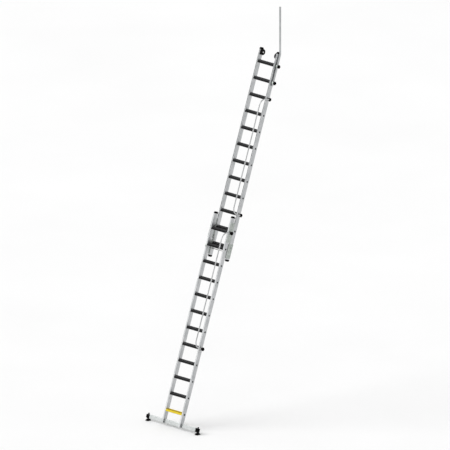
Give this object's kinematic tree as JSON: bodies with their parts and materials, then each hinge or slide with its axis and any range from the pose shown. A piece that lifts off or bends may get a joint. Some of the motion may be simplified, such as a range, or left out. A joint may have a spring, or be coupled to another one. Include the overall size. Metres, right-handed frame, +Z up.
{
  "type": "extension ladder",
  "caption": "Two-section sliding ladder with wide treads, a stabiliser crossbar on tilting feet, side handrails, wall rollers and a grab rail that rises above its top.",
  "frame": {"origin": "on the floor, midway between the soles of the two feet", "axes": "+Z up; +X the climber's right, across the ladder; +Y towards the wall, the way the ladder leans, 70 degrees from the floor"},
  "size_m": [1.204, 2.3546, 6.78],
  "materials": {
    "stile_aluminium": "mill finish extrusion, fine lengthwise drawing lines",
    "guide_plate": "satin sheet",
    "rail_tube": "satin drawn tube",
    "tread_black": "gritty anti-slip tread cover",
    "tread_yellow": "gritty anti-slip tread cover, signal yellow",
    "black_plastic": "moulded, satin",
    "black_rubber": "moulded rubber",
    "zinc_steel": "zinc plated steel"
  },
  "bodies": {
    "base": {"base_guide_left": "guide_plate", "base_guide_right": "guide_plate", "base_handrail": "rail_tube", "base_stile_left": "stile_aluminium", "base_stile_right": "stile_aluminium", "base_top_cap_left": "black_plastic", "base_top_cap_right": "black_plastic", "base_tread_01": "tread_yellow", "base_tread_02": "tread_black", "base_tread_03": "tread_black", "base_tread_04": "tread_black", "base_tread_05": "tread_black", "base_tread_06": "tread_black", "base_tread_07": "tread_black", "base_tread_08": "tread_black", "base_tread_09": "tread_black", "base_tread_10": "tread_black", "base_tread_11": "tread_black", "base_tread_12": "tread_black", "crossbar": "stile_aluminium", "foot_holder_left": "black_plastic", "foot_holder_right": "black_plastic"},
    "fly": {"fly_bottom_cap_left": "black_plastic", "fly_bottom_cap_right": "black_plastic", "fly_guide_left": "guide_plate", "fly_guide_right": "guide_plate", "fly_handrail": "rail_tube", "fly_stile_left": "stile_aluminium", "fly_stile_right": "stile_aluminium", "fly_tie_rod": "zinc_steel", "fly_top_cap_left": "black_plastic", "fly_top_cap_right": "black_plastic", "fly_tread_01": "tread_black", "fly_tread_02": "tread_black", "fly_tread_03": "tread_black", "fly_tread_04": "tread_black", "fly_tread_05": "tread_black", "fly_tread_06": "tread_black", "fly_tread_07": "tread_black", "fly_tread_08": "tread_black", "fly_tread_09": "tread_black", "fly_tread_10": "tread_black", "fly_tread_11": "tread_black", "fly_tread_12": "tread_black", "grab_clamp_lower": "guide_plate", "grab_clamp_upper": "guide_plate"},
    "grab_rail": {"grab_rail": "rail_tube"},
    "foot_left": {"foot_pad_left": "black_rubber"},
    "roller_left": {"wall_roller_left": "black_rubber"},
    "latch_left": {"latch_left": "zinc_steel"},
    "foot_right": {"foot_pad_right": "black_rubber"},
    "roller_right": {"wall_roller_right": "black_rubber"},
    "latch_right": {"latch_right": "zinc_steel"},
    "base_rail_knob_lower": {"base_rail_knob_lower": "black_plastic"},
    "fly_rail_knob_lower": {"fly_rail_knob_lower": "black_plastic"},
    "grab_knob_lower": {"grab_knob_lower": "black_plastic"},
    "base_rail_knob_upper": {"base_rail_knob_upper": "black_plastic"},
    "fly_rail_knob_upper": {"fly_rail_knob_upper": "black_plastic"},
    "grab_knob_upper": {"grab_knob_upper": "black_plastic"}
  },
  "joints": [
    {"name": "fly_slide", "type": "slide", "parent": "base", "child": "fly", "axis": [0, -0.342, -0.9397], "range_m": [0, 2.8]},
    {"name": "foot_tilt_left", "type": "hinge", "parent": "base", "child": "foot_left", "pos_m": [-0.572, 0, 0.04], "axis": [1, 0, 0], "range_deg": [-20, 20]},
    {"name": "foot_tilt_right", "type": "hinge", "parent": "base", "child": "foot_right", "pos_m": [0.572, 0, 0.04], "axis": [1, 0, 0], "range_deg": [-20, 20]},
    {"name": "roller_spin_left", "type": "hinge", "parent": "fly", "child": "roller_left", "pos_m": [-0.1635, 2.24614, 5.92428], "axis": [1, 0, 0], "continuous": true},
    {"name": "roller_spin_right", "type": "hinge", "parent": "fly", "child": "roller_right", "pos_m": [0.1635, 2.24614, 5.92428], "axis": [1, 0, 0], "continuous": true},
    {"name": "latch_swing_left", "type": "hinge", "parent": "fly", "child": "latch_left", "pos_m": [-0.181, 1.14168, 2.94537], "axis": [1, 0, 0], "range_deg": [0, 105]},
    {"name": "latch_swing_right", "type": "hinge", "parent": "fly", "child": "latch_right", "pos_m": [0.181, 1.14168, 2.94537], "axis": [1, 0, 0], "range_deg": [0, 105]},
    {"name": "base_rail_knob_turn_lower", "type": "hinge", "parent": "base", "child": "base_rail_knob_lower", "pos_m": [0.2325, 0.44975, 1.29868], "axis": [1, 0, 0], "continuous": true},
    {"name": "base_rail_knob_turn_upper", "type": "hinge", "parent": "base", "child": "base_rail_knob_upper", "pos_m": [0.2325, 1.12011, 3.14048], "axis": [1, 0, 0], "continuous": true},
    {"name": "fly_rail_knob_turn_lower", "type": "hinge", "parent": "fly", "child": "fly_rail_knob_lower", "pos_m": [0.2325, 1.33294, 3.40359], "axis": [1, 0, 0], "continuous": true},
    {"name": "fly_rail_knob_turn_upper", "type": "hinge", "parent": "fly", "child": "fly_rail_knob_upper", "pos_m": [0.2325, 2.0033, 5.24539], "axis": [1, 0, 0], "continuous": true},
    {"name": "grab_knob_turn_lower", "type": "hinge", "parent": "fly", "child": "grab_knob_lower", "pos_m": [0.2325, 2.0953, 5.50987], "axis": [1, 0, 0], "continuous": true},
    {"name": "grab_knob_turn_upper", "type": "hinge", "parent": "fly", "child": "grab_knob_upper", "pos_m": [0.2325, 2.19107, 5.77299], "axis": [1, 0, 0], "continuous": true},
    {"name": "grab_rail_slide", "type": "slide", "parent": "fly", "child": "grab_rail", "axis": [0, 0.342, 0.9397], "range_m": [-0.12, 0.03]}
  ],
  "couplings": [
    {"joint": "latch_swing_right", "follows": "latch_swing_left", "ratio": 1}
  ]
}
